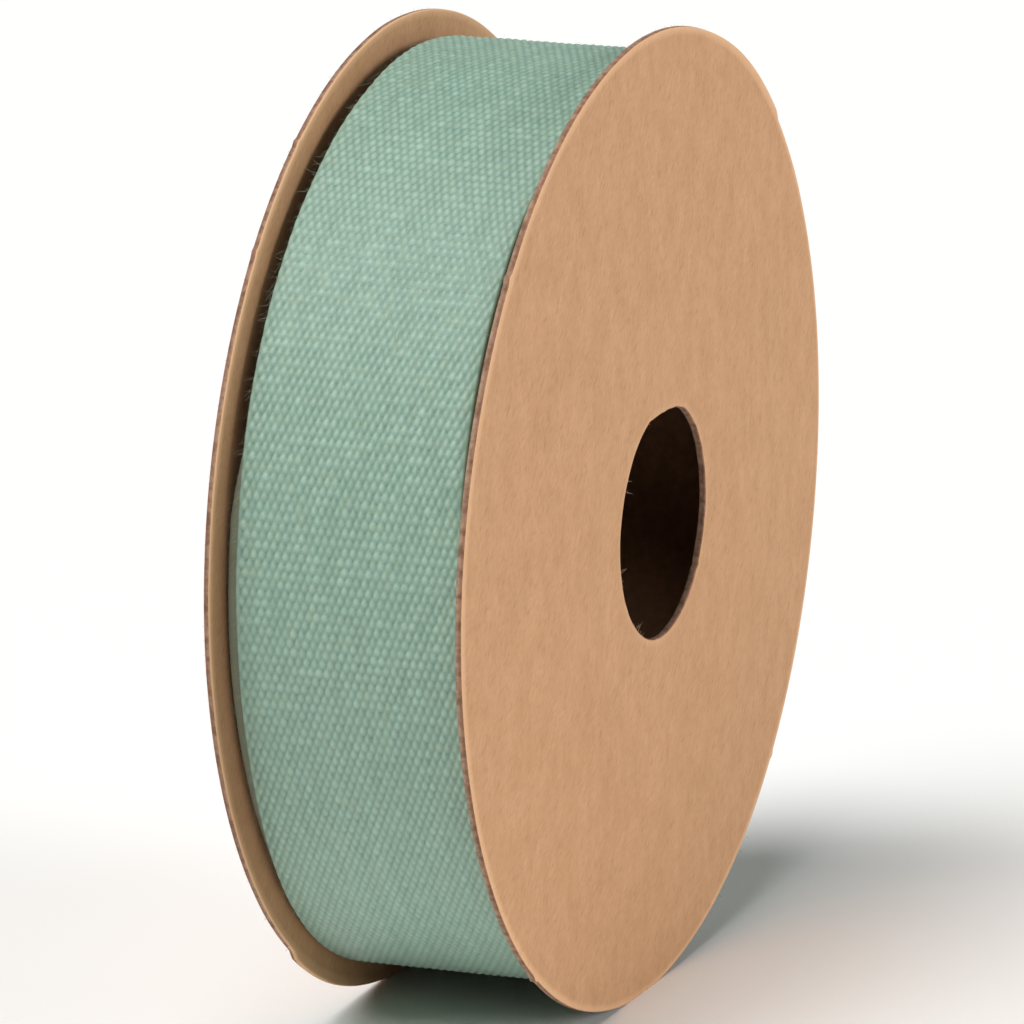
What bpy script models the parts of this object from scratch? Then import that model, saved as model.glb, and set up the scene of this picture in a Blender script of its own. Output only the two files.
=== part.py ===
"""A roll of cotton ribbon on a kraft board reel, standing upright on the rims of the reel's two discs.

Run it with: blender --background --python part.py
Metres, +Z up. The reel's axis runs along X, and the floor is at z = 0.
"""

import math

import bpy

MM = 0.001
COLLECTION_NAME = "cotton_ribbon_roll"
CUTTER_COLLECTION_NAME = "cutters"

# The reel: two die-cut discs of kraft board, each sprung outwards a little at its middle.
DISC_RADIUS = 52.5 * MM
HOLE_RADIUS = 12.5 * MM
BOARD = 0.8 * MM
WIDTH_AT_RIMS = 28.7 * MM
DISH = 1.5 * MM
HUB_RADIUS = 20 * MM
DISH_STEPS = 8

# The flat spot at the foot of each disc, where the board has settled on the table.
FLAT_WIDTH = 10 * MM

# The wound-paper tube that parts the discs.
CORE_OUTER_RADIUS = 32.4 * MM
CORE_WALL = 2 * MM

# The ribbon: its width, its thickness as wound, and where it sits between the discs.
RIBBON_WIDTH = 25 * MM
RIBBON_THICKNESS = 0.45 * MM
ROLL_RADIUS = 50.1 * MM
ROLL_RIGHT_EDGE = 13.2 * MM
RIBBON_END_ANGLE = math.radians(200)

# Pieces that would touch are kept this far apart.
GAP = 0.3 * MM

SEGMENTS = 96
ROLL_SEGMENTS = 120

FLAT_DEPTH = DISC_RADIUS - math.sqrt(DISC_RADIUS**2 - (FLAT_WIDTH / 2) ** 2)
AXIS_HEIGHT = DISC_RADIUS - FLAT_DEPTH


def clear_scene():
    for obj in list(bpy.data.objects):
        bpy.data.objects.remove(obj, do_unlink=True)


def new_collection(name):
    collection = bpy.data.collections.new(name)
    bpy.context.scene.collection.children.link(collection)
    return collection


def linear(hex_colour):
    """The linear colour of an sRGB hex value such as C89D77."""
    channels = [int(hex_colour[i : i + 2], 16) / 255 for i in (0, 2, 4)]
    return [c / 12.92 if c <= 0.04045 else ((c + 0.055) / 1.055) ** 2.4 for c in channels] + [1.0]


def new_material(name, hex_colour, roughness):
    material = bpy.data.materials.new(name)
    material.use_nodes = True
    shader = material.node_tree.nodes["Principled BSDF"]
    shader.inputs["Base Color"].default_value = linear(hex_colour)
    shader.inputs["Roughness"].default_value = roughness
    shader.inputs["Metallic"].default_value = 0.0
    return material


def place_on_axis(obj, side):
    """Turns an object made round its own Z so that Z points along the reel's axis, to +X or -X."""
    obj.location = (0, 0, AXIS_HEIGHT)
    obj.rotation_euler = (0, side * math.radians(90), 0)


def turned_ring(name, profile, side, material, collection):
    """A closed ring: the profile's (radius, height) corners, clockwise, turned round local Z."""
    mesh = bpy.data.meshes.new(name)
    corners = [(radius, 0, height) for radius, height in profile]
    count = len(corners)
    mesh.from_pydata(corners, [(i, (i + 1) % count) for i in range(count)], [])
    obj = bpy.data.objects.new(name, mesh)
    obj.data.materials.append(material)
    collection.objects.link(obj)
    screw = obj.modifiers.new("turn", "SCREW")
    screw.axis = "Z"
    screw.angle = math.radians(360)
    screw.steps = SEGMENTS
    screw.render_steps = SEGMENTS
    screw.use_merge_vertices = True
    screw.merge_threshold = 0.01 * MM
    screw.use_smooth_shade = False
    place_on_axis(obj, side)
    return obj


def rise(radius):
    """How far a disc stands out beyond its rim: all of the dish on the hub, easing to none at the rim."""
    way_out = max(0.0, (radius - HUB_RADIUS) / (DISC_RADIUS - HUB_RADIUS))
    return DISH * (1 + math.cos(math.pi * way_out)) / 2


def outer_face(radius):
    return WIDTH_AT_RIMS / 2 + rise(radius)


def inner_face(radius):
    return outer_face(radius) - BOARD


def disc_profile():
    """Out along the outer face, and back along the inner one."""
    step = (DISC_RADIUS - HUB_RADIUS) / DISH_STEPS
    radii = [HOLE_RADIUS] + [HUB_RADIUS + i * step for i in range(DISH_STEPS + 1)]
    outwards = [(radius, outer_face(radius)) for radius in radii]
    inwards = [(radius, inner_face(radius)) for radius in reversed(radii)]
    return outwards + inwards


def core_profile():
    """The tube's section, its ends just clear of the two discs."""
    inner = CORE_OUTER_RADIUS - CORE_WALL
    end = inner_face(CORE_OUTER_RADIUS) - GAP
    return [(inner, end), (CORE_OUTER_RADIUS, end), (CORE_OUTER_RADIUS, -end), (inner, -end)]


def foot_cutter(collection):
    """A block whose top is the table, wide enough to trim both discs."""
    depth = 4 * MM
    bpy.ops.mesh.primitive_cube_add(size=1, location=(0, 0, -depth / 2))
    cutter = bpy.context.object
    cutter.name = "foot_cutter"
    cutter.scale = (2 * WIDTH_AT_RIMS, 2 * FLAT_WIDTH, depth)
    bpy.ops.object.transform_apply(location=False, rotation=False, scale=True)
    for holder in list(cutter.users_collection):
        holder.objects.unlink(cutter)
    collection.objects.link(cutter)
    cutter.hide_render = True
    cutter.display_type = "WIRE"
    return cutter


def trim_foot(disc, cutter):
    trim = disc.modifiers.new("flat_spot", "BOOLEAN")
    trim.operation = "DIFFERENCE"
    trim.solver = "EXACT"
    trim.object = cutter


def outer_turn_radius(angle):
    """The wound outline: one turn of a spiral, stepping down by one thickness past the ribbon's end."""
    turns_past_end = ((RIBBON_END_ANGLE - angle) / (2 * math.pi)) % 1.0
    return ROLL_RADIUS - RIBBON_THICKNESS * turns_past_end


def on_wheel(radius, angle):
    """A point of a section across the reel. The angle runs from the front up over the top."""
    return (-radius * math.cos(angle), radius * math.sin(angle), 0)


def add_closed_line(curve, points):
    spline = curve.splines.new("POLY")
    spline.points.add(len(points) - 1)
    for target, point in zip(spline.points, points):
        target.co = (*point, 1)
    spline.use_cyclic_u = True


def wound_ribbon(material, collection):
    """The whole ribbon as wound: a spiral outline with the core's round hole, a ribbon's width deep."""
    full_turn = 2 * math.pi
    step_width = math.radians(0.5)
    outline = []
    for i in range(ROLL_SEGMENTS):
        past_end = step_width + (full_turn - step_width) * i / (ROLL_SEGMENTS - 1)
        angle = RIBBON_END_ANGLE - past_end
        outline.append(on_wheel(outer_turn_radius(angle + 1e-6), angle))
    hole_radius = CORE_OUTER_RADIUS + GAP
    hole = [on_wheel(hole_radius, full_turn * i / SEGMENTS) for i in range(SEGMENTS)]

    curve = bpy.data.curves.new("ribbon_roll", "CURVE")
    curve.dimensions = "2D"
    curve.fill_mode = "BOTH"
    curve.extrude = RIBBON_WIDTH / 2
    add_closed_line(curve, outline)
    add_closed_line(curve, hole)
    roll = bpy.data.objects.new("ribbon_roll", curve)
    roll.data.materials.append(material)
    collection.objects.link(roll)
    roll.location = (ROLL_RIGHT_EDGE - RIBBON_WIDTH / 2, 0, AXIS_HEIGHT)
    roll.rotation_euler = (math.radians(90), 0, math.radians(90))
    return roll


def main():
    clear_scene()
    parts = new_collection(COLLECTION_NAME)
    cutters = new_collection(CUTTER_COLLECTION_NAME)

    near_board = new_material("kraft_board_right", "C89D77", 0.9)
    far_board = new_material("kraft_board_left", "C89D77", 0.9)
    paper_tube = new_material("kraft_paper_tube", "A9825F", 0.9)
    cotton = new_material("sage_green_cotton", "94AF9E", 0.95)

    right_disc = turned_ring("flange_right", disc_profile(), 1, near_board, parts)
    left_disc = turned_ring("flange_left", disc_profile(), -1, far_board, parts)
    turned_ring("core_tube", core_profile(), 1, paper_tube, parts)
    wound_ribbon(cotton, parts)

    cutter = foot_cutter(cutters)
    trim_foot(right_disc, cutter)
    trim_foot(left_disc, cutter)


main()
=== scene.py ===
# %% [markdown]
# # A roll of cotton ribbon on a kraft board reel
#
# The roll stands upright on the rims of two board discs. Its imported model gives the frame: the
# discs, the paper tube and the wound ribbon, all at their real size and in their real place.
# This lesson puts the real surface on each of them: the weave of the ribbon, the edges of its
# turns, the fibres of the board, and the loose hairs that every cotton ribbon has.

# %% Load the frame
import math

import bpy
import numpy as np
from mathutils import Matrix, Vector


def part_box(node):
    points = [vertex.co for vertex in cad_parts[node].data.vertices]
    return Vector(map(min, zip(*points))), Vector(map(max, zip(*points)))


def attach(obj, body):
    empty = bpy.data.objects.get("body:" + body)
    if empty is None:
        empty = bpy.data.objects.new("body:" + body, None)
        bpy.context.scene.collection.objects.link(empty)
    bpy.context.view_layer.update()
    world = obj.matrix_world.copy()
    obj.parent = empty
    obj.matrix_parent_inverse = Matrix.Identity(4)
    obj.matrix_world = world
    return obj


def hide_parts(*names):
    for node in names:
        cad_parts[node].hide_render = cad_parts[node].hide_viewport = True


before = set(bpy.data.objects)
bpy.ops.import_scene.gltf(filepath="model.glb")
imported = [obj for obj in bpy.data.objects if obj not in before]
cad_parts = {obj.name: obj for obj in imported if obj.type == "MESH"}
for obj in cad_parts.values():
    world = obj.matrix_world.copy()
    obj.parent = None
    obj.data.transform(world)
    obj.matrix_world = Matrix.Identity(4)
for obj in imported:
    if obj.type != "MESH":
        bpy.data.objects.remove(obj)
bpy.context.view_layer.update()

# %% [markdown]
# ## Sizes
#
# Every length below is a real one. What the frame already holds is read from it, so that the
# two can't drift apart. The reel's axis runs along X, at the height of the discs' middle.

# %% Real sizes, in metres
MM = 0.001
disc_low, disc_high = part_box("flange_right")
roll_low, roll_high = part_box("ribbon_roll")

DISC_RADIUS = (disc_high.y - disc_low.y) / 2
AXIS_HEIGHT = disc_high.z - DISC_RADIUS
HOLE_RADIUS = 12.5 * MM
BOARD = 0.8 * MM
WIDTH_AT_RIMS = 28.7 * MM
DISH = disc_high.x - WIDTH_AT_RIMS / 2
HUB_RADIUS = 20 * MM

RIBBON_LEFT = roll_low.x
RIBBON_WIDTH = roll_high.x - roll_low.x
RIBBON_THICKNESS = 0.45 * MM
ROLL_RADIUS = 49.95 * MM
CORE_RADIUS = 32.4 * MM
RIBBON_END = math.radians(200)
TURN = 2 * math.pi
print(f"discs {2000 * DISC_RADIUS:.1f} mm across, ribbon {1000 * RIBBON_WIDTH:.1f} mm wide")

# %% [markdown]
# ## The camera
#
# A long lens far away draws the reel almost without perspective, as in the photo. The camera
# looks at a point near the reel's middle from a direction given by two angles, and its focal
# length is worked out for an image 1024 pixels wide.

# %% Camera
IMAGE_SIDE = 1024
SENSOR_MM = 36
AZIMUTH = math.radians(21.8)
ELEVATION = math.radians(13.7)
DISTANCE = 16.5 * DISC_RADIUS
FOCAL_PIXELS = 8113
AIM_RIGHT = -0.0269 * DISC_RADIUS
AIM_UP = -0.0071 * DISC_RADIUS

back = np.array([
    math.sin(AZIMUTH) * math.cos(ELEVATION),
    -math.cos(AZIMUTH) * math.cos(ELEVATION),
    math.sin(ELEVATION),
])
right = np.array([math.cos(AZIMUTH), math.sin(AZIMUTH), 0])
up = np.cross(back, right)
aim = np.array([0, 0, AXIS_HEIGHT]) + AIM_RIGHT * right + AIM_UP * up

camera = bpy.data.objects.new("camera", bpy.data.cameras.new("camera"))
bpy.context.scene.collection.objects.link(camera)
camera.data.sensor_width = SENSOR_MM
camera.data.lens = SENSOR_MM * FOCAL_PIXELS / IMAGE_SIDE
camera.data.clip_start = 0.05
camera.data.clip_end = 20
camera.location = aim + DISTANCE * back
camera.rotation_euler = (math.pi / 2 - ELEVATION, 0, AZIMUTH)
bpy.context.scene.camera = camera
print(f"camera {1000 * DISTANCE:.0f} mm away with a {camera.data.lens:.0f} mm lens")

# %% [markdown]
# ## Light and floor
#
# A product photo of this kind is taken on a white table, between two large soft lights at its
# left and right, with a third one overhead. The overhead key lights the top of the roll, the
# left light its front, and the right one the face of the near disc. The white table throws some
# of their light back up, and a little comes from the room. All three are sun
# lamps with a wide angle, so they light the whole table evenly and their shadows are as soft as
# a big lamp's. The picture is shown with the plain sRGB curve, so that the colours come out as
# they are set.

# %% World and lamps
ROOM_STRENGTH = 0.06

scene = bpy.context.scene
scene.view_settings.view_transform = "Standard"

world = bpy.data.worlds.new("white_room")
world.use_nodes = True
world.node_tree.nodes["Background"].inputs["Color"].default_value = (1, 1, 1, 1)
world.node_tree.nodes["Background"].inputs["Strength"].default_value = ROOM_STRENGTH
scene.world = world


def soft_sun(name, azimuth, elevation, spread, strength):
    """A wide sun lamp that shines on the reel from two angles, all given in degrees."""
    lamp = bpy.data.objects.new(name, bpy.data.lights.new(name, "SUN"))
    lamp.data.angle = math.radians(spread)
    lamp.data.energy = strength
    lamp.rotation_euler = (math.pi / 2 - math.radians(elevation), 0, math.radians(azimuth))
    scene.collection.objects.link(lamp)
    return lamp


soft_sun("overhead_key", azimuth=-12, elevation=72, spread=32, strength=1.6)
soft_sun("left_light", azimuth=-40, elevation=50, spread=40, strength=1.75)
soft_sun("right_light", azimuth=100, elevation=15, spread=30, strength=1.88)

# %% [markdown]
# ## Helpers
#
# A surface here is a grid of points worked out by numpy, and its faces are the quads between
# neighbouring points. The helpers turn such a grid into a mesh, place points round the reel's
# axis, and give smooth noise for everything that is a little uneven.

# %% Grids and meshes


def grid_faces(rows, columns, wrap_rows=False, wrap_columns=False):
    """The corner numbers of the quads of a grid of points that are numbered row by row."""
    row = np.arange(rows if wrap_rows else rows - 1)
    column = np.arange(columns if wrap_columns else columns - 1)
    row, column = np.meshgrid(row, column, indexing="ij")
    here = row * columns
    next_row = (row + 1) % rows * columns
    next_column = (column + 1) % columns
    corners = [here + column, here + next_column, next_row + next_column, next_row + column]
    return np.stack(corners, axis=-1).reshape(-1, 4)


def mesh_piece(name, points, faces, materials, face_material=None):
    """A smooth mesh object at the origin, from (n, 3) points and (m, 4) corner numbers."""
    mesh = bpy.data.meshes.new(name)
    mesh.vertices.add(len(points))
    mesh.vertices.foreach_set("co", np.ascontiguousarray(points, np.float32).ravel())
    mesh.loops.add(faces.size)
    mesh.loops.foreach_set("vertex_index", faces.astype(np.int32).ravel())
    mesh.polygons.add(len(faces))
    mesh.polygons.foreach_set("loop_start", np.arange(0, faces.size, 4, dtype=np.int32))
    if face_material is not None:
        mesh.polygons.foreach_set("material_index", face_material.astype(np.int32).ravel())
    mesh.update(calc_edges=True)
    mesh.shade_smooth()
    for material in materials:
        mesh.materials.append(material)
    piece = bpy.data.objects.new(name, mesh)
    scene.collection.objects.link(piece)
    print(f"{name}: {len(points)} points, {2 * len(faces)} triangles")
    return piece


def add_values(piece, name, values):
    """Stores one number for each point of the piece, for its material to read."""
    attribute = piece.data.attributes.new(name, "FLOAT", "POINT")
    attribute.data.foreach_set("value", np.ascontiguousarray(values, np.float32).ravel())


def around_axis(x, radius, angle):
    """Points round the reel's axis. The angle runs from the front, -Y, up over the top."""
    x, radius, angle = np.broadcast_arrays(x, radius, angle)
    return np.stack([x, -radius * np.cos(angle), AXIS_HEIGHT + radius * np.sin(angle)], axis=-1)


def smooth_noise(u, v, seed, cells=64):
    """Noise from -1 to 1: random heights on a unit grid, eased between its corners.

    The grid repeats after the given number of cells, so a ring that is cells long closes.
    """
    heights = np.random.default_rng(seed).uniform(-1, 1, (cells, cells))
    u, v = np.broadcast_arrays(u, v)
    u_cell, v_cell = np.floor(u).astype(int), np.floor(v).astype(int)
    u_part, v_part = u - u_cell, v - v_cell
    u_ease = u_part * u_part * (3 - 2 * u_part)
    v_ease = v_part * v_part * (3 - 2 * v_part)
    u_next, v_next = (u_cell + 1) % cells, (v_cell + 1) % cells
    u_cell, v_cell = u_cell % cells, v_cell % cells
    low = heights[u_cell, v_cell] * (1 - u_ease) + heights[u_next, v_cell] * u_ease
    high = heights[u_cell, v_next] * (1 - u_ease) + heights[u_next, v_next] * u_ease
    return low * (1 - v_ease) + high * v_ease


def ease(value, start, end):
    """From 0 at start to 1 at end, with a soft beginning and a soft stop."""
    way = np.clip((np.asarray(value) - start) / (end - start), 0, 1)
    return way * way * (3 - 2 * way)


def plateau(value, start, full, fall, end):
    """Rises softly from 0 at start to 1 at full, and falls softly from fall to 0 at end."""
    return ease(value, start, full) * (1 - ease(value, fall, end))


def apart_from(angle, place):
    """How far an angle is from a place, from minus to plus half a turn."""
    return (angle - place + np.pi) % TURN - np.pi


def front_degrees(angle):
    """An angle's place round the reel in degrees, from -180 to 180, with 0 at the front."""
    return np.degrees(apart_from(angle, 0.0))


def outward(angle):
    """The direction straight out from the reel's axis at an angle."""
    return around_axis(0.0, 1.0, angle) - [0, 0, AXIS_HEIGHT]


def unit(vectors):
    """The same directions, each one long."""
    return vectors / np.linalg.norm(vectors, axis=-1, keepdims=True)


# %% [markdown]
# Materials are built the same way each time: a Principled shader, and nodes that vary its
# colour and its bump. One helper adds a node with its settings and its links.

# %% Colours and nodes


def linear(hex_colour):
    """The linear RGBA colour of an sRGB hex value."""
    channels = np.array([int(hex_colour[i : i + 2], 16) for i in (0, 2, 4)]) / 255
    low, high = channels / 12.92, ((channels + 0.055) / 1.055) ** 2.4
    return (*np.where(channels <= 0.04045, low, high).tolist(), 1.0)


def per_mm(feature_mm):
    """The scale of a noise or a Voronoi pattern on Object coordinates whose features are this size."""
    return 1 / (feature_mm * MM)


def add_node(material, kind, inputs, **settings):
    """Adds a node. inputs holds a value, or another node's output, for each socket that is set."""
    node = material.node_tree.nodes.new(kind)
    for name, value in settings.items():
        setattr(node, name, value)
    for socket, value in inputs.items():
        if isinstance(value, bpy.types.NodeSocket):
            material.node_tree.links.new(value, node.inputs[socket])
        else:
            node.inputs[socket].default_value = value
    return node


def new_material(name, roughness):
    """A material and its Principled shader, rough and not metallic, as paper and cotton are."""
    material = bpy.data.materials.new(name)
    material.use_nodes = True
    shader = material.node_tree.nodes["Principled BSDF"]
    shader.inputs["Roughness"].default_value = roughness
    shader.inputs["Metallic"].default_value = 0.0
    return material, shader


def set_ramp(node, *stops):
    """Gives a colour ramp its stops, each a position and an sRGB hex value."""
    elements = node.color_ramp.elements
    while len(elements) < len(stops):
        elements.new(0.5)
    for element, (position, hex_colour) in zip(elements, stops):
        element.position = position
        element.color = linear(hex_colour)


MIX_FACTOR, MIX_A, MIX_B, MIX_RESULT = 0, 6, 7, 2


def mix_colours(material, factor, a, b, blend="MIX"):
    """The colour output of a Mix node."""
    inputs = {MIX_FACTOR: factor, MIX_A: a, MIX_B: b}
    node = add_node(material, "ShaderNodeMix", inputs, data_type="RGBA", blend_type=blend)
    return node.outputs[MIX_RESULT]


print("helpers ready")

# %% [markdown]
# ## Kraft board
#
# The discs are die-cut from unbleached kraft board: brown paper fibres a millimetre or two
# long, pressed flat, most of them lying near one direction. Its face is matt and very even,
# with a soft mottling and short strokes a little lighter or darker than the rest. The fibres
# are drawn as three noises, each stretched along a diagonal of its own. Where the die has cut
# through the layers, the edge is darker and blotched, greyer on the inner side and redder on
# the outer one.

# %% Kraft board materials
# The lean in degrees, the length in millimetres and the darkest tone of each kind of stroke.
STROKES = ((-38, 1.5, "DFD8D0"), (-66, 1.1, "E8E2DB"), (-8, 1.2, "E8E2DB"))
STROKE_MM = 0.2


def kraft_face(name, light_hex, dark_hex, rim_highlight_hex):
    """Unbleached kraft board, calendered: matt, with mottling and pressed fibres."""
    material, shader = new_material(name, 0.85)
    place = add_node(material, "ShaderNodeTexCoord", {}).outputs["Object"]

    upright = add_node(material, "ShaderNodeMapping", {"Vector": place, "Scale": (1, 1, 0.6)})
    mottle = add_node(
        material, "ShaderNodeTexNoise",
        {"Vector": upright.outputs["Vector"], "Scale": per_mm(2.8), "Detail": 3.0, "Roughness": 0.55},
    )
    tone = add_node(material, "ShaderNodeValToRGB", {"Fac": mottle.outputs["Fac"]})
    set_ramp(tone, (0.30, dark_hex), (0.70, light_hex))

    strokes = tone.outputs["Color"]
    for lean, length_mm, low_hex in STROKES:
        stretch = (1, 1, length_mm / STROKE_MM)
        turned = add_node(
            material, "ShaderNodeMapping",
            {"Vector": place, "Rotation": (math.radians(lean), 0, 0), "Scale": stretch},
            vector_type="TEXTURE",
        )
        fibre = add_node(
            material, "ShaderNodeTexNoise",
            {"Vector": turned.outputs["Vector"], "Scale": per_mm(STROKE_MM), "Detail": 1.0},
        )
        depth = add_node(material, "ShaderNodeValToRGB", {"Fac": fibre.outputs["Fac"]})
        set_ramp(depth, (0.22, low_hex), (0.42, "F7F5F2"), (0.60, "F7F5F2"), (0.78, "FFFFFF"))
        strokes = mix_colours(material, 1.0, strokes, depth.outputs["Color"], "MULTIPLY")

    # Painted highlight: the board is painted paler along its cuts, where the rounded corner catches the
    # light.
    cut = add_node(material, "ShaderNodeAttribute", {}, attribute_name="near_cut")
    pressed = mix_colours(material, cut.outputs["Fac"], strokes, linear(rim_highlight_hex))
    material.node_tree.links.new(pressed, shader.inputs["Base Color"])

    # The grain in relief runs along the last of the three kinds of stroke.
    grain = add_node(
        material, "ShaderNodeTexNoise",
        {"Vector": turned.outputs["Vector"], "Scale": per_mm(0.3), "Detail": 3.0},
    )
    relief = add_node(
        material, "ShaderNodeBump",
        {"Height": grain.outputs["Fac"], "Strength": 0.35, "Distance": 0.05 * MM},
    )
    material.node_tree.links.new(relief.outputs["Normal"], shader.inputs["Normal"])
    return material


def kraft_edge(name, inner_hex, outer_hex, blotch_hex):
    """The die-cut edge of the board: torn layers of two tones, with darker blotches."""
    material, shader = new_material(name, 0.9)
    place = add_node(material, "ShaderNodeTexCoord", {}).outputs["Object"]
    across = add_node(material, "ShaderNodeAttribute", {}, attribute_name="across_board")
    layers = add_node(material, "ShaderNodeValToRGB", {"Fac": across.outputs["Fac"]})
    set_ramp(layers, (0.35, inner_hex), (0.65, outer_hex))
    blotch = add_node(
        material, "ShaderNodeTexNoise",
        {"Vector": place, "Scale": per_mm(0.9), "Detail": 4.0, "Roughness": 0.6},
    )
    tone = add_node(material, "ShaderNodeValToRGB", {"Fac": blotch.outputs["Fac"]})
    set_ramp(tone, (0.36, blotch_hex), (0.60, "FFFFFF"))
    colour = mix_colours(material, 1.0, layers.outputs["Color"], tone.outputs["Color"], "MULTIPLY")
    material.node_tree.links.new(colour, shader.inputs["Base Color"])
    torn = add_node(
        material, "ShaderNodeTexNoise", {"Vector": place, "Scale": per_mm(0.22), "Detail": 3.0}
    )
    relief = add_node(
        material, "ShaderNodeBump",
        {"Height": torn.outputs["Fac"], "Strength": 0.6, "Distance": 0.08 * MM},
    )
    material.node_tree.links.new(relief.outputs["Normal"], shader.inputs["Normal"])
    return material


board_face = kraft_face("kraft_board_face", "D5A881", "CB9E75", "E2B48A")
board_edge = kraft_edge("kraft_board_cut_edge", "A88B74", "9C745C", "BFB2A9")
print("board:", board_face.name, board_edge.name)

# %% [markdown]
# ## The discs
#
# A disc is one profile carried round the axis: out along the inner face, over the cut rim, back
# along the outer face, and down the edge of the hole. The middle stands out beyond the rim by
# the dish, which eases to nothing at the rim. The die leaves four or five tiny nicks on each
# rim, where the disc was held in its sheet until it was pushed out, and presses the board down a
# little beside its cut. There the board is painted paler, as a painted highlight of the rounded
# corner. The board isn't perfectly flat, and the near disc leans out by half a degree at the top.
# Each rim flares a little towards one nick, where two lengths of the die met badly. Each hole has
# a short straight stretch with one worn corner, and a small notch.
# On the far disc the inner face curls over a share of the cut, and over all of it below.

# %% Disc profile and nicks
FACE_RINGS = 32
BORDER_RINGS = 6
EDGE_RINGS = 7
DISC_SEGMENTS = 480
EDGE_ROUNDING = 0.14 * MM
EDGE_SQUARENESS = 0.6
RIM_ROUGHNESS = 0.04 * MM
HOLE_ROUGHNESS = 0.05 * MM
ROUGHNESS_CELLS = 64
WAVE_HEIGHT = 0.12 * MM
WAVE_CELLS = 8
PRESSED_WIDTH = 0.8 * MM
PRESSED_DEPTH = 0.06 * MM
# How strong the painted highlight beside the cut is, at the rim and at the hole.
RIM_HIGHLIGHT = 0.7
HOLE_HIGHLIGHT = 0.25
CURLED_SHARE = {"near": 0.0, "far": 0.3}
CURLED_AT_FOOT = {"near": 0.0, "far": 1.0}
FOOT_DEGREES = (50, 62)
NICK_HEIGHT = {"near": 0.32 * MM, "far": 0.22 * MM}
NICK_WIDTH = 0.75 * MM
NICKS = {
    "near": (135, 40.6, -53, -137),
    "far": (57, 41, -54, 131, -135),
}
LEAN_BACK = {"near": math.radians(0.26), "far": 0.0}
LEAN_OUT = {"near": math.radians(0.47), "far": 0.0}
FLARE = {"near": 135, "far": -54}
FLARE_SPAN = 30
FLARE_FULL = 8
FLARE_HEIGHT = 0.45 * MM
HOLE_FLAT = {"near": (70, 105), "far": (25, 56)}
CORNER_WEAR = 0.3 * MM
CORNER_SPAN = 8
HOLE_NOTCH = {"near": -146, "far": 100}
NOTCH_DEPTH = 0.25 * MM
NOTCH_WIDTH = 0.7 * MM


def disc_rise(radius):
    """How far a disc stands out beyond its rim: half a cosine wave from the hub to the rim."""
    way_out = np.clip((radius - HUB_RADIUS) / (DISC_RADIUS - HUB_RADIUS), 0, 1)
    return DISH * (1 + np.cos(np.pi * way_out)) / 2


def rounded_edge(count):
    """Offsets (outwards, across) over a cut edge, rounded at both corners, from one face to the other."""
    turn = np.linspace(-np.pi / 2, np.pi / 2, count)
    outwards = EDGE_ROUNDING * np.cos(turn) ** EDGE_SQUARENESS
    return outwards, np.sin(turn) * BOARD / 2


def disc_profile():
    """The closed profile: radius, x, place across the board, which points are on a cut, how near one is.

    Beside a cut the outer face sinks by the pressed depth * closeness squared, where closeness
    goes from 0 at the pressed width away to 1 at the cut.
    """
    inner, outer = HOLE_RADIUS + EDGE_ROUNDING, DISC_RADIUS - EDGE_ROUNDING
    border = np.linspace(0, PRESSED_WIDTH, BORDER_RINGS)
    face = np.linspace(inner + PRESSED_WIDTH, outer - PRESSED_WIDTH, FACE_RINGS - 2 * BORDER_RINGS + 2)
    face = np.concatenate([inner + border, face[1:-1], outer - border[::-1]])
    outwards, across = rounded_edge(EDGE_RINGS)
    rim = face[-1] + outwards[1:-1]
    hole = face[0] - outwards[1:-1]
    radius = np.concatenate([face, rim, face[::-1], hole])
    middle = WIDTH_AT_RIMS / 2 - BOARD / 2 + disc_rise(radius)
    side = np.concatenate([
        np.full(FACE_RINGS, -BOARD / 2), across[1:-1], np.full(FACE_RINGS, BOARD / 2), -across[1:-1]
    ])
    on_edge = np.zeros(len(radius), bool)
    on_edge[FACE_RINGS - 1 : FACE_RINGS + len(rim)] = True
    on_edge[2 * FACE_RINGS + len(rim) - 1 :] = True
    from_cut = np.minimum(radius - inner, outer - radius)
    near_cut = 1 - np.clip(from_cut / PRESSED_WIDTH, 0, 1)
    across = side / BOARD + 0.5
    return radius, middle + side - PRESSED_DEPTH * near_cut**2 * across, across, on_edge, near_cut


def nick_bump(angle, which):
    """The rim's extra radius: a small bell at each nick's place."""
    total = np.zeros_like(angle)
    for place in NICKS[which]:
        apart = apart_from(angle, math.radians(place))
        total += np.exp(-((apart * DISC_RADIUS / (NICK_WIDTH / 2)) ** 4))
    return NICK_HEIGHT[which] * total


def rim_flare(angle, which):
    """The rim's extra radius over the stretch that ends at one nick: rising slowly, gone at once."""
    before = np.degrees(apart_from(angle, math.radians(FLARE[which])))
    return FLARE_HEIGHT * ease(before, -FLARE_SPAN, -FLARE_FULL) * (before < 0)


def hole_shift(angle, which):
    """What the hole's edge gains in radius: less over the flat, more at the notch.

    The flat is a straight cut between two angles, worn at its far corner. There the radius is
    R * cos(half the span) / cos(the angle from the flat's middle).
    """
    start, end = np.radians(HOLE_FLAT[which])
    half = (end - start) / 2
    apart = np.clip(apart_from(angle, (start + end) / 2), -half, half)
    flat = HOLE_RADIUS * (1 - math.cos(half) / np.cos(apart))
    flat = flat + CORNER_WEAR * np.exp(-((apart_from(angle, end) / math.radians(CORNER_SPAN)) ** 2))
    apart = apart_from(angle, math.radians(HOLE_NOTCH[which]))
    notch = NOTCH_DEPTH * np.exp(-((apart * HOLE_RADIUS / (NOTCH_WIDTH / 2)) ** 2))
    return notch - flat


# %% Make the two discs


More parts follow.
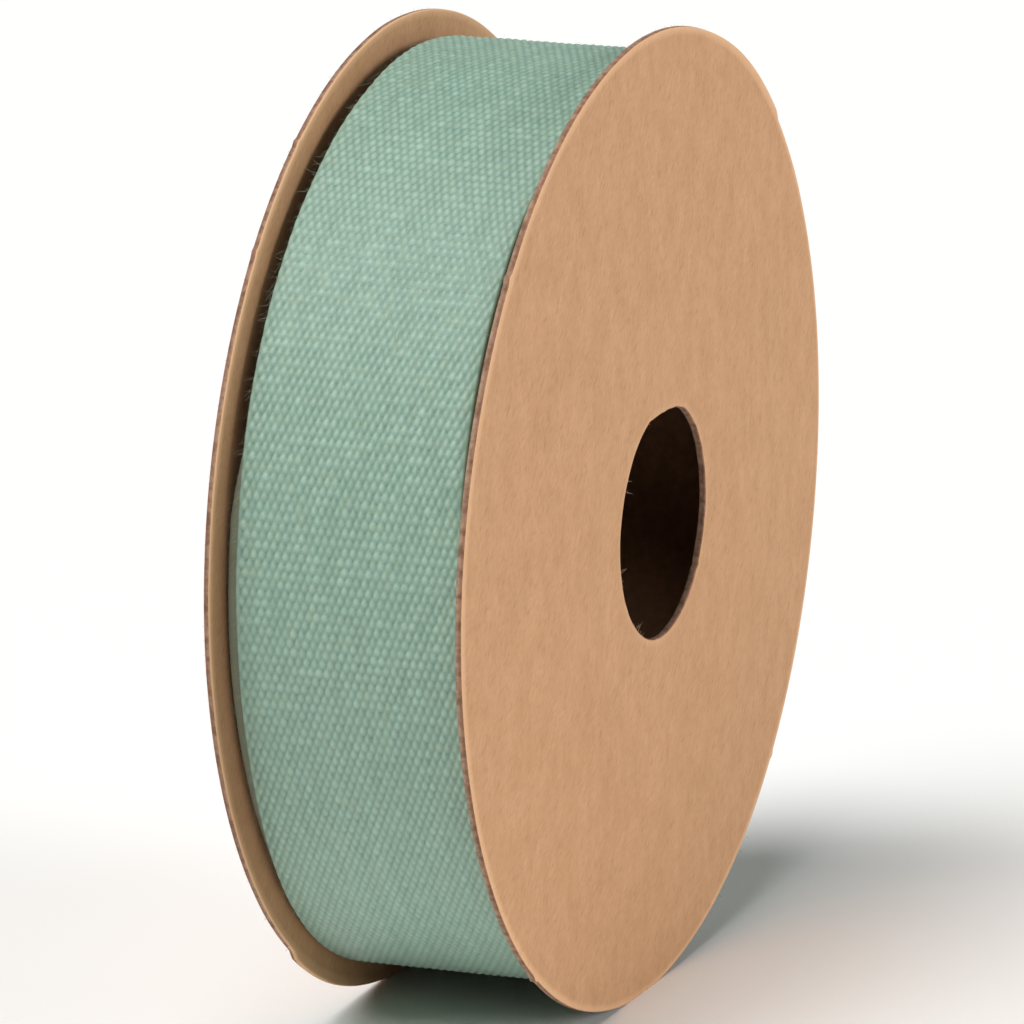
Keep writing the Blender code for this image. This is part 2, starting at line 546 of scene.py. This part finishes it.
def make_disc(name, side, seed):
    """A disc on side +1 or -1 of the ribbon, with its nicks, its waviness and its flat foot."""
    which = "near" if side > 0 else "far"
    radius, x, across, on_edge, near_cut = disc_profile()
    angle = np.linspace(0, TURN, DISC_SEGMENTS, endpoint=False)[:, None]
    near_rim = ease(radius, DISC_RADIUS - 0.5 * MM, DISC_RADIUS - EDGE_ROUNDING)
    near_hole = 1 - ease(radius, HOLE_RADIUS + EDGE_ROUNDING, HOLE_RADIUS + 1.5 * MM)
    ring = angle / TURN * ROUGHNESS_CELLS
    radii = radius + (nick_bump(angle, which) + rim_flare(angle, which)) * near_rim
    radii = radii + RIM_ROUGHNESS * smooth_noise(ring, 0.5, seed) * near_rim
    hole = hole_shift(angle, which) + HOLE_ROUGHNESS * smooth_noise(ring, 0.5, seed + 2)
    radii = radii + hole * near_hole
    slow_ring = angle / TURN * WAVE_CELLS
    wave = WAVE_HEIGHT * smooth_noise(slow_ring, radius / (15 * MM), seed + 1, WAVE_CELLS) * near_rim
    points = around_axis(side * (x + wave), radii, angle)
    above_axis = points[..., 2] - AXIS_HEIGHT
    points[..., 0] += points[..., 1] * LEAN_BACK[which] + above_axis * LEAN_OUT[which]
    points[..., 2] = np.maximum(points[..., 2], 0)
    at_foot = ease(-front_degrees(angle), *FOOT_DEGREES)
    curled = CURLED_SHARE[which] + (CURLED_AT_FOOT[which] - CURLED_SHARE[which]) * at_foot
    edge_face = (on_edge & np.roll(on_edge, -1)) & ((across + np.roll(across, -1)) / 2 > curled)
    if side < 0:
        points = points[:, ::-1]
        near_cut = near_cut[::-1]
        across = across[::-1]
        edge_face = np.roll(edge_face[:, ::-1], -1, axis=1)
    # Painted highlight: how much paler the board is painted beside its cut.
    near_cut = near_cut * np.where(radius[:: int(side)] > HUB_RADIUS, RIM_HIGHLIGHT, HOLE_HIGHLIGHT)
    faces = grid_faces(DISC_SEGMENTS, len(radius), wrap_rows=True, wrap_columns=True)
    slots = edge_face.astype(int)
    disc = mesh_piece(name, points.reshape(-1, 3), faces, [board_face, board_edge], slots)
    add_values(disc, "near_cut", np.tile(near_cut, DISC_SEGMENTS))
    add_values(disc, "across_board", np.tile(across, DISC_SEGMENTS))
    return disc


disc_near = make_disc("board_disc_near", 1, seed=11)
disc_far = make_disc("board_disc_far", -1, seed=23)
for disc, node in ((disc_near, "flange_right"), (disc_far, "flange_left")):
    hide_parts(node)
    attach(disc, "root")

# %% [markdown]
# ## The paper tube
#
# The tube between the discs is wound on the slant from a strip of grey-brown paper, so a seam
# climbs round it like the stripe on a drinking straw. Only its dim inside shows, through the
# hole. It is a grid of angle by profile, and the seam is a small step in its radius.

# %% Tube material and mesh
TUBE_WALL = 2 * MM
TUBE_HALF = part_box("core_tube")[1].x
TUBE_SEGMENTS = 180
TUBE_RINGS = 60
SEAM_PITCH = 24 * MM
SEAM_STEP = 0.12 * MM
SEAM_START = 0.94


def tube_paper(name):
    """Spiral-wound core paper: recycled fibre, greyer and rougher than the board's face."""
    material, shader = new_material(name, 0.92)
    place = add_node(material, "ShaderNodeTexCoord", {}).outputs["Object"]
    fleck = add_node(
        material, "ShaderNodeTexNoise",
        {"Vector": place, "Scale": per_mm(1.3), "Detail": 5.0, "Roughness": 0.65},
    )
    tone = add_node(material, "ShaderNodeValToRGB", {"Fac": fleck.outputs["Fac"]})
    # Painted shade: the grey-brown paper is set darker and warmer than its own colour, for the shade and the
    # board's brown light inside the tube.
    set_ramp(tone, (0.3, "5A3F26"), (0.7, "6E4F33"))
    material.node_tree.links.new(tone.outputs["Color"], shader.inputs["Base Color"])
    relief = add_node(
        material, "ShaderNodeBump",
        {"Height": fleck.outputs["Fac"], "Strength": 0.4, "Distance": 0.1 * MM},
    )
    material.node_tree.links.new(relief.outputs["Normal"], shader.inputs["Normal"])
    return material


def make_tube(name):
    """The closed tube. Its radius drops by the seam's step once every pitch along the slant."""
    along = np.linspace(-TUBE_HALF, TUBE_HALF, TUBE_RINGS)
    x = np.concatenate([along, along[::-1]])
    wall = np.repeat([CORE_RADIUS, CORE_RADIUS - TUBE_WALL], TUBE_RINGS)
    angle = np.linspace(0, TURN, TUBE_SEGMENTS, endpoint=False)[:, None]
    climb = (x / SEAM_PITCH + angle / TURN) % 1
    drop = ease(climb, SEAM_START, 1.0)
    radius = wall - SEAM_STEP * drop + SEAM_STEP * climb * (climb < SEAM_START)
    radius = np.minimum(radius, CORE_RADIUS)
    points = around_axis(x, radius, angle).reshape(-1, 3)
    faces = grid_faces(TUBE_SEGMENTS, len(x), wrap_rows=True, wrap_columns=True)
    return mesh_piece(name, points, faces, [tube_paper("spiral_wound_core_paper_painted_shade")])


tube = make_tube("core_tube_wound")
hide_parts("core_tube")
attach(tube, "root")

# %% [markdown]
# ## The weave
#
# The ribbon is a plain weave of soft cotton, dyed sage green. The warp ends run along it and
# are packed so close that they hide most of the weft: each end passes over one pick and under
# the next, and its neighbour does the opposite. So the face is a brickwork of small upright
# ovals, each one warp end rising over one pick, a little narrower at its top.
#
# A bump map would draw this, but not at the ribbon's edges or in a low light. Here the weave is
# the true height of the surface: the highest of the nearest warp ends and picks at each point.

# %% Weave formula
ENDS = 57
END_PITCH = RIBBON_WIDTH / ENDS
PICK_PITCH = 1.0 * MM
WARP_RISE = 0.105 * MM
WARP_CROWN = 0.09 * MM
WARP_HALF = 0.74
WARP_LEAN = 0.02
WARP_TAPER = 0.18
UNEVEN_RISE = 0.40
UNEVEN_WIDTH = 0.16
SELVEDGE_RISE = 0.35
WEFT_RISE = 0.02 * MM
WEFT_CROWN = 0.08 * MM
WEFT_HALF = 0.55
WEFT_SINK = 0.07 * MM
# Painted shade: the weft, which shows only in the gaps, is painted a little darker.
WEFT_SHADE = -0.3
LEVEL_REACH = 1.6


def warp_height(end, ends, picks, rise, crown):
    """Warp end number end, at a point given in ends across and picks along.

    Its middle is rise * cos(pi * (picks + end)), shifted sideways by lean * sin(pi * (picks + end)).
    Across the yarn the height falls as crown * (1 - (offset / half width) squared), and the half
    width shrinks by taper * sin(pi * (picks + end)), so each float is narrower at its top.
    """
    wave = np.pi * (picks + end)
    uneven = 1 + UNEVEN_RISE * smooth_noise(end, picks / 2, 5)
    selvedge = np.where((end <= 0) | (end >= ENDS - 1), SELVEDGE_RISE, 1.0)
    offset = ends - (end + 0.5) - WARP_LEAN * np.sin(wave)
    thickening = UNEVEN_WIDTH * smooth_noise(end, picks / 1.5, 6)
    width = WARP_HALF * (1 + thickening - WARP_TAPER * np.sin(wave))
    inside = (end >= 0) & (end < ENDS)
    height = rise * uneven * selvedge * np.cos(wave) + crown * (1 - (offset / width) ** 2)
    return np.where(inside, height, -1.0)


def weft_height(pick, ends, picks):
    """Pick number pick: straighter than the warp, and lying lower, so it shows only in the gaps."""
    wave = np.pi * (ends - 0.5 + pick)
    offset = (picks - pick) / WEFT_HALF
    return WEFT_CROWN * (1 - offset**2) - WEFT_RISE * np.cos(wave) - WEFT_SINK


def woven_surface(ends, picks, rise, crown):
    """The surface's height, how high it lies from 0 to 1, and the tone of the yarn on top."""
    nearest = np.floor(ends).astype(int)
    height = np.full(np.broadcast(ends, picks).shape, -1.0)
    tone = np.zeros_like(height)
    for end in (nearest - 1, nearest, nearest + 1):
        this = warp_height(end, ends, picks, rise, crown)
        yarn = 0.6 * smooth_noise(end, picks / 2, 7) + 0.4 * smooth_noise(end, picks / 30, 8)
        tone = np.where(this > height, yarn, tone)
        height = np.maximum(height, this)
    below = np.floor(picks).astype(int)
    for pick in (below, below + 1):
        this = weft_height(pick, ends, picks)
        tone = np.where(this > height, WEFT_SHADE, tone)
        height = np.maximum(height, this)
    top = rise + crown
    return height - top, np.clip(1 + (height - top) / (LEVEL_REACH * top), 0, 1), tone


print(f"weave: {ENDS} ends of {1000 * END_PITCH:.3f} mm, picks every {1000 * PICK_PITCH:.1f} mm")

# %% [markdown]
# ## Dyed cotton
#
# Cotton is dull, but pressed yarn has a broad soft gloss where the key light is mirrored, and a
# little sheen from its fuzz. Its colour follows the weave, with painted light: the tops of the
# floats are paler, as a painted highlight, and the gaps between them are deeper green, as painted
# shade. Each yarn takes the dye a little differently, and a few patches are yellower. A fine noise
# stands for the fibres of the yarn; real ones are about 0.02 mm thick, and they are drawn about
# five times as coarse so that they show at all.

# %% Cotton materials


def dyed_cotton(name, shaded_gap_hex, middle_hex, highlight_top_hex, warm_hex):
    """Sage green cotton yarn. It reads the piece's own height and tone values."""
    material, shader = new_material(name, 0.5)
    shader.inputs["Sheen Weight"].default_value = 0.1
    shader.inputs["Sheen Roughness"].default_value = 0.6
    shader.inputs["Specular IOR Level"].default_value = 0.5
    place = add_node(material, "ShaderNodeTexCoord", {}).outputs["Object"]

    height = add_node(material, "ShaderNodeAttribute", {}, attribute_name="painted_light_level")
    tone = add_node(material, "ShaderNodeAttribute", {}, attribute_name="yarn_tone")
    # Painted shade and painted highlight: by how high the surface lies, the gaps between the floats are
    # painted darker and their tops paler.
    colour = add_node(material, "ShaderNodeValToRGB", {"Fac": height.outputs["Fac"]})
    set_ramp(colour, (0.15, shaded_gap_hex), (0.6, middle_hex), (1.0, highlight_top_hex))

    patches = add_node(
        material, "ShaderNodeTexNoise",
        {"Vector": place, "Scale": per_mm(1.2), "Detail": 2.0, "Roughness": 0.6},
    )
    warm = add_node(
        material, "ShaderNodeMapRange",
        {"Value": patches.outputs["Fac"], "From Min": 0.50, "From Max": 0.75, "To Max": 0.4},
    )
    tinted = mix_colours(material, warm.outputs["Result"], colour.outputs["Color"], linear(warm_hex))
    selvedge = add_node(material, "ShaderNodeAttribute", {}, attribute_name="selvedge")
    tinted = mix_colours(material, selvedge.outputs["Fac"], tinted, linear(highlight_top_hex))

    lighter = add_node(
        material, "ShaderNodeMapRange",
        {"Value": tone.outputs["Fac"], "From Min": -1.0, "From Max": 1.0, "To Min": 0.88, "To Max": 1.1},
    )
    fibres = add_node(
        material, "ShaderNodeTexNoise", {"Vector": place, "Scale": per_mm(0.11), "Detail": 2.0}
    )
    fuzz = add_node(
        material, "ShaderNodeMapRange",
        {"Value": fibres.outputs["Fac"], "From Min": 0.25, "From Max": 0.75, "To Min": 0.92, "To Max": 1.08},
    )
    strength = add_node(
        material, "ShaderNodeMath",
        {0: lighter.outputs["Result"], 1: fuzz.outputs["Result"]}, operation="MULTIPLY",
    )
    grey = add_node(
        material, "ShaderNodeCombineColor",
        {"Red": strength.outputs[0], "Green": strength.outputs[0], "Blue": strength.outputs[0]},
    )
    final = mix_colours(material, 1.0, tinted, grey.outputs["Color"], "MULTIPLY")
    material.node_tree.links.new(final, shader.inputs["Base Color"])

    relief = add_node(
        material, "ShaderNodeBump",
        {"Height": fibres.outputs["Fac"], "Strength": 0.3, "Distance": 0.03 * MM},
    )
    material.node_tree.links.new(relief.outputs["Normal"], shader.inputs["Normal"])
    return material


cotton_face = dyed_cotton("sage_cotton_weave", "54705F", "7D9D8B", "98B5A5", "98AC8E")
# Painted shade: the turns beneath get a duller, browner copy of the cotton, for the shade they lie in and
# the board's brown light on them.
cotton_turns_painted_shade = dyed_cotton("sage_cotton_turn_edges_painted_shade", "5B6752", "7E8873", "939B86", "9B997F")
print("cotton:", cotton_face.name, cotton_turns_painted_shade.name)

# %% [markdown]
# ## The outer turn
#
# Wound ribbon is a spiral: at each point its radius is the roll's radius, less one thickness for
# each turn back from the cut end. The outer turn is a grid of rows along the ribbon and columns
# across it, with the weave's height added. It is cut into three arcs to keep each mesh light.
# Their rows come from one formula and their normals are worked out before the cut, so no seam
# shows. The roll isn't wound quite true: it lies a little to the left in two places and sags a
# little below, and its right edge droops and is drawn in over the upper front. Angles given in
# degrees are counted from the front, up over the top.

# %% Rows and columns of the outer turn
END_SAMPLES = 3
PICK_SAMPLES = 4
ARCS = 3
TUCKED_UNDER = 3 * MM
EDGE_DROP = 0.42 * MM
EDGE_ROUND = 0.16 * MM
LUMP_HEIGHT = 0.05 * MM
CUT_THINNING = 0.35 * MM
CUT_WIDTH = 0.5 * MM
SWAY_BELLS = ((32, 32, -0.42 * MM), (-68, 34, -1.5 * MM))
PULLED_IN = 0.7 * MM
PULLED_DEGREES = (4, 16, 48, 72)
TAUT_DEGREES = (-150, -120, -48, 8)
CALM_RISE = 0.25
CALM_CROWN = 0.9
ENDS_PER_RIB = 2
RIB_HEIGHT = 0.02 * MM
RIB_SHADE = 0.12
SAG = 0.4 * MM
SAG_DEGREES = -80
SAG_HALF_WIDTH = 35
SAG_SLOPE = 0.6
RIGHT_DROOP = 0.14 * MM
DROOP_WIDTH = 0.9 * MM
SELVEDGE_PALE = 0.5


def turn_radius(angle):
    """The spiral's outer radius: one thickness less for each turn before the ribbon's cut end."""
    return ROLL_RADIUS - RIBBON_THICKNESS * (RIBBON_END - angle) / TURN


def edge_wander(picks):
    """The small unevenness of where the ribbon's edge runs."""
    return 0.06 * MM * smooth_noise(picks / 23, 0.5, 31) + 0.04 * MM * smooth_noise(picks / 5, 0.5, 32)


def roll_sway(angle):
    """How far the wound ribbon lies sideways: a bell to the left above the front, a larger one below."""
    total = 0
    for middle, half_width, shift in SWAY_BELLS:
        apart = apart_from(angle, math.radians(middle)) / math.radians(half_width)
        total = total + shift * np.exp(-(apart**2))
    return total


def right_edge_in(angle):
    """How much narrower the ribbon is at its right edge: drawn in over the upper front."""
    return PULLED_IN * plateau(front_degrees(angle), *PULLED_DEGREES)


def taut_share(angle):
    """How taut the ribbon is: 0 above the front, where the floats stand apart, and 1 below.

    There they lie flatter and line up into fine diagonal ribs, two ends apart.
    """
    return plateau(front_degrees(angle), *TAUT_DEGREES)


def outer_turn_grid():
    """Points, heights and tones of the whole outer turn, a row for each part of a pick."""
    length = ROLL_RADIUS * TURN + TUCKED_UNDER
    rows = int(length / PICK_PITCH * PICK_SAMPLES)
    picks = (np.arange(rows) / PICK_SAMPLES)[:, None]
    angle = RIBBON_END - (length - picks * PICK_PITCH) / ROLL_RADIUS
    samples = (np.arange(ENDS * END_SAMPLES) + 0.5) / END_SAMPLES
    ends = np.concatenate([[0, 0], samples, [ENDS, ENDS]])
    drop = np.zeros(len(ends))
    drop[[0, -1]] = EDGE_DROP
    drop[[1, -2]] = EDGE_ROUND
    inside = np.minimum(ends, ENDS - ends) * END_PITCH
    bend = EDGE_ROUND * (1 - np.sqrt(1 - np.clip(1 - inside / EDGE_ROUND, 0, 1) ** 2))
    taut = taut_share(angle)
    rise = WARP_RISE * (1 - (1 - CALM_RISE) * taut)
    crown = WARP_CROWN * (1 + (CALM_CROWN - 1) * taut)
    height, level, tone = woven_surface(ends, picks, rise, crown)
    rib = np.cos(TURN * (ends - 0.5 - picks) / ENDS_PER_RIB)
    ribbed = ease(taut, 0.1, 0.9)
    height = height + RIB_HEIGHT * ribbed * rib
    # Painted shade: the grooves between the ribs are painted darker.
    level = np.clip(level - RIB_SHADE * ribbed * ease(-rib, 0.2, 1.0), 0, 1)
    lumps = LUMP_HEIGHT * smooth_noise(ends / 14, picks / 9, 33)
    cut = ease(picks * PICK_PITCH, length - CUT_WIDTH, length)
    radius = turn_radius(angle) + height - np.maximum(drop, bend) + lumps - CUT_THINNING * cut
    from_sag = apart_from(angle, math.radians(SAG_DEGREES)) / math.radians(SAG_HALF_WIDTH)
    radius = radius + SAG * np.exp(-(from_sag**2)) * (1 - SAG_SLOPE * ends / ENDS)
    from_right = (ENDS - ends) * END_PITCH
    radius = radius - RIGHT_DROOP * np.clip(1 - from_right / DROOP_WIDTH, 0, 1) ** 2
    x = RIBBON_LEFT + ends * END_PITCH + edge_wander(picks) + roll_sway(angle)
    x = x - ends / ENDS * right_edge_in(angle)
    selvedge = SELVEDGE_PALE * (1 - ease(ends * END_PITCH, 0.25 * MM, 0.5 * MM))
    return around_axis(x, radius, angle), level, tone, np.broadcast_to(selvedge, level.shape)


def grid_normals(points):
    """Outward normals of a grid: the step across it, crossed with the step along it."""
    return unit(np.cross(np.gradient(points, axis=1), np.gradient(points, axis=0)))


# %% Make the arcs
outer_points, outer_level, outer_tone, outer_selvedge = outer_turn_grid()
outer_normals = grid_normals(outer_points)
arc_rows = np.linspace(0, len(outer_points) - 1, ARCS + 1).astype(int)
for number, (first, last) in enumerate(zip(arc_rows[:-1], arc_rows[1:])):
    part = slice(first, last + 1)
    shape = outer_points[part].shape
    arc = mesh_piece(
        f"ribbon_outer_turn_{number + 1}",
        outer_points[part].reshape(-1, 3),
        grid_faces(shape[0], shape[1]),
        [cotton_face],
    )
    arc.data.normals_split_custom_set_from_vertices(outer_normals[part].reshape(-1, 3))
    # The height level that the material turns into painted shade and painted highlight.
    add_values(arc, "painted_light_level", outer_level[part])
    add_values(arc, "yarn_tone", outer_tone[part])
    add_values(arc, "selvedge", outer_selvedge[part])
    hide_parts("ribbon_roll")
    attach(arc, "root")

# %% [markdown]
# ## The turns beneath
#
# Under the outer turn lie some thirty-seven more. Their edges show at both sides of the roll,
# and they are never quite level: each turn sways a little, and low on the front a few of them
# have slid towards the far disc. They are one long strip with a rounded section, carried along
# the same spiral. Its ends taper to nothing, so the mesh is closed.

# %% Make the inner turns
INNER_TURNS = 37
STEPS_PER_TURN = 112
TURN_GAP = 0.05 * MM
SLIP = 1.6 * MM
SLIP_DEGREES = (-60, -34, 4, 24)
SLID_TURNS = (1.6, 2.4, 7.0, 9.0)
FARTHEST_LEFT = -1.4 * MM
INNER_PULL = 1.4


def turn_offset(angle):
    """How far a turn lies sideways. The angle runs on from turn to turn, up to the ribbon's end."""
    turns_down = (RIBBON_END - angle) / TURN
    sway = 0.22 * MM * smooth_noise(angle / 1.3, 0.5, 41) + 0.12 * MM * smooth_noise(angle / 0.31, 0.5, 42)
    slip = SLIP * plateau(front_degrees(angle), *SLIP_DEGREES) * plateau(turns_down, *SLID_TURNS)
    return np.maximum(roll_sway(angle) + sway - slip, FARTHEST_LEFT + 0.5 * sway)


def make_inner_turns(name):
    """The strip: a rounded section of twelve points for each step along the spiral."""
    half, thick = RIBBON_WIDTH / 2, (RIBBON_THICKNESS - TURN_GAP) / 2
    across = np.array([-half, -half + 0.10 * MM, -half + 0.4 * MM, half - 0.4 * MM, half - 0.10 * MM, half])
    lift = np.array([0.35, 0.85, 1.0, 1.0, 0.85, 0.35]) * thick
    across = np.concatenate([across, across[::-1]])
    lift = np.concatenate([lift, -lift[::-1]])
    steps = INNER_TURNS * STEPS_PER_TURN
    last = RIBBON_END - TURN + TUCKED_UNDER / ROLL_RADIUS
    angle = np.linspace(last - INNER_TURNS * TURN, last, steps)[:, None]
    taper = np.minimum(ease(angle, angle[0], angle[3]), ease(-angle, -angle[-1], -angle[-4]))
    radius = turn_radius(angle) - RIBBON_THICKNESS / 2 + lift * taper
    x = RIBBON_LEFT + half + across + turn_offset(angle)
    x = x - INNER_PULL * right_edge_in(angle) * (half + across) / RIBBON_WIDTH
    points = around_axis(x, radius, angle).reshape(-1, 3)
    piece = mesh_piece(name, points, grid_faces(steps, len(across), wrap_columns=True), [cotton_turns_painted_shade])
    tone = smooth_noise(angle * 9, 0.5, 43) + smooth_noise(angle * 41, 0.5, 44)
    # Painted shade: each turn is painted paler on its outward side and darker on its inward side, so the
    # lines between the turns read dark.
    add_values(piece, "painted_light_level", np.tile(0.55 + 0.3 * lift / thick, steps))
    add_values(piece, "yarn_tone", np.repeat(tone, len(across)))
    return piece


inner_turns = make_inner_turns("ribbon_turns")
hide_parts("ribbon_roll")
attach(inner_turns, "root")

# %% [markdown]
# ## Loose cotton hairs
#
# Cotton yarn sheds short fibres. They stand along both edges of the ribbon, where the weft turns
# back, and more lie on its face. A particle system could grow them, but the export drops
# particles, so each hair is a thin three-sided tube along a bent line, with one mesh for each of
# the three places. They are a little thicker than a real cotton fibre, so that they show.

# %% Hairs as one mesh
HAIR_POINTS = 6
HAIR_THICKNESS = 0.025 * MM
HAIRY_TURNS = 8


def make_hairs(name, roots, directions, bends, lengths, thickness, material):
    """Tubes along root + length * (way * direction + way squared * bend), thinner to the tip."""
    way = np.linspace(0, 1, HAIR_POINTS)[None, :, None]
    lengths = lengths[:, None, None]
    path = roots[:, None] + lengths * (way * directions[:, None] + way**2 * bends[:, None])
    side = unit(np.cross(directions, [0.3, 0.5, 0.8]))
    other = unit(np.cross(directions, side))
    corner = np.arange(3) * TURN / 3
    ring = np.cos(corner)[:, None] * side[:, None] + np.sin(corner)[:, None] * other[:, None]
    radius = thickness / 2 * (1 - 0.98 * way[..., None] ** 3)
    points = path[:, :, None] + radius * ring[:, None]
    one = grid_faces(HAIR_POINTS, 3, wrap_columns=True)
    start = np.arange(len(roots))[:, None, None] * HAIR_POINTS * 3
    return mesh_piece(name, points.reshape(-1, 3), (start + one).reshape(-1, 4), [material])


def plain_fibre(name, hex_colour, roughness):
    """A loose fibre's material: one plain colour with a little sheen."""
    material, shader = new_material(name, roughness)
    shader.inputs["Base Color"].default_value = linear(hex_colour)
    shader.inputs["Sheen Weight"].default_value = 0.3
    return material


def edge_hairs(name, side, count, longest, seed):
    """Hairs along one edge of the outer eight turns, leaning outwards and down along the ribbon."""
    dice = np.random.default_rng(seed)
    angle = dice.uniform(RIBBON_END - TURN, RIBBON_END, count)
    turns_down = dice.integers(0, HAIRY_TURNS, count)
    wound = angle - TURN * turns_down
    edge = RIBBON_LEFT + (RIBBON_WIDTH if side > 0 else 0)
    radius = turn_radius(wound) - dice.uniform(0.05, 0.4, count) * MM
    aside = np.where(turns_down > 0, turn_offset(wound), roll_sway(angle))
    roots = around_axis(edge - side * 0.05 * MM + aside, radius, angle)
    outwards = outward(angle)
    spread = dice.normal(0, 1, (count, 3))
    lying = (0.9 * spread[:, 1:2] - 1.1) * outward(angle + np.pi / 2)
    directions = unit(side * np.array([1.0, 0, 0]) + 0.3 * spread[:, :1] * outwards + lying)
    bends = 0.5 * dice.normal(0, 1, (count, 3)) + 0.25 * outwards
    lengths = longest * dice.uniform(0.2, 1.0, count) ** 2
    return make_hairs(name, roots, directions, bends, lengths, HAIR_THICKNESS, cotton_fibre)


def face_hairs(name, count, longest, seed):
    """Short hairs all over the outer turn, nearly flat on it and every way round."""
    dice = np.random.default_rng(seed)
    angle = dice.uniform(RIBBON_END - TURN, RIBBON_END, count)
    x = RIBBON_LEFT + dice.uniform(0.02, 0.98, count) * RIBBON_WIDTH
    roots = around_axis(x, turn_radius(angle) - 0.04 * MM, angle)
    outwards = outward(angle)
    along = outward(angle + np.pi / 2)
    heading = dice.uniform(0, TURN, count)[:, None]
    lift = dice.uniform(0.1, 0.6, count)[:, None]
    flat = np.cos(heading) * np.array([1.0, 0, 0]) + np.sin(heading) * along
    directions = unit(flat + lift * outwards)
    bends = 0.5 * dice.normal(0, 1, (count, 3)) - 0.4 * lift * outwards
    lengths = longest * dice.uniform(0.25, 1.0, count) ** 2
    return make_hairs(name, roots, directions, bends, lengths, HAIR_THICKNESS, cotton_fibre)


cotton_fibre = plain_fibre("loose_cotton_fibre", "A7B3A3", 0.8)
left_hairs = edge_hairs("cotton_hairs_left", -1, 4500, 1.4 * MM, 51)
right_hairs = edge_hairs("cotton_hairs_right", 1, 500, 0.35 * MM, 52)
fuzz_hairs = face_hairs("cotton_hairs_face", 2200, 0.9 * MM, 53)
for hairs in (left_hairs, right_hairs, fuzz_hairs):
    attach(hairs, "root")

# %% [markdown]
# The board sheds fibres too. The die drags a few out of the cut round the hole, where they stand
# as small tufts, with one fibre over two millimetres long, and leaves a fine nap on both rims.

# %% Paper fibres at the hole and the rims
HOLE_TUFTS = (71, 61, 28, -14, -18, -50, -57)
FIBRES_IN_TUFT = 4
TUFT_FIBRES = len(HOLE_TUFTS) * FIBRES_IN_TUFT
TUFT_THICKNESS = 0.08 * MM
LONG_TUFT = 2
LONG_FIBRE = 2.2 * MM
NAP_FIBRES = 260
NAP_THICKNESS = 0.03 * MM


def paper_fibres(name, side, radius, angle, inward, lengths, thickness, seed):
    """Fibres from the outer corner of a cut edge, pointing away from the board within its plane."""
    dice = np.random.default_rng(seed)
    count = len(angle)
    face = WIDTH_AT_RIMS / 2 + disc_rise(radius) - dice.uniform(0.0, 0.6, count) * BOARD
    roots = around_axis(side * face, radius, angle)
    heading = -outward(angle) if inward else outward(angle)
    directions = unit(heading + 0.35 * dice.normal(0, 1, (count, 3)))
    bends = 0.35 * dice.normal(0, 1, (count, 3))
    return make_hairs(name, roots, directions, bends, lengths, thickness, paper_fibre)


paper_fibre = plain_fibre("loose_paper_fibre", "8A6D55", 0.8)
dice = np.random.default_rng(61)
tuft_angle = np.radians(np.repeat(HOLE_TUFTS, FIBRES_IN_TUFT)) + dice.normal(0, 0.03, TUFT_FIBRES)
tuft_length = dice.uniform(0.3, 0.8, TUFT_FIBRES) * MM
tuft_length[LONG_TUFT * FIBRES_IN_TUFT] = LONG_FIBRE
hole_edge = HOLE_RADIUS + 0.05 * MM + hole_shift(tuft_angle, "near")
tufts = paper_fibres("paper_fibres_hole", 1, hole_edge, tuft_angle, True, tuft_length, TUFT_THICKNESS, 62)
fibre_pieces = [tufts]
rim = DISC_RADIUS - 0.05 * MM
for side, name in ((1, "paper_fibres_rim_near"), (-1, "paper_fibres_rim_far")):
    nap_angle = dice.uniform(0.3, TURN - 0.3, NAP_FIBRES) - np.pi / 2
    nap_length = dice.uniform(0.08, 0.35, NAP_FIBRES) * MM
    nap = paper_fibres(name, side, rim, nap_angle, False, nap_length, NAP_THICKNESS, 63)
    fibre_pieces.append(nap)
for piece in fibre_pieces:
    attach(piece, "root")

# %% [markdown]
# ## The table
#
# The floor is a plain pale sheet, wide enough to fill the view behind the reel.

# %% Floor
FLOOR_HALF = 6.0


def make_floor():
    """A flat grid of four points at z = 0."""
    corner = np.array([-FLOOR_HALF, FLOOR_HALF])
    x, y = np.meshgrid(corner, corner, indexing="xy")
    points = np.stack([x, y, np.zeros_like(x)], axis=-1).reshape(-1, 3)
    material, shader = new_material("white_table", 0.9)
    shader.inputs["Base Color"].default_value = linear("F6F6F4")
    return mesh_piece("floor", points, grid_faces(2, 2), [material])


floor = make_floor()

# %% [markdown]
# ## Finish
#
# The last line brings the scene up to date.

# %% Finish
bpy.context.view_layer.update()
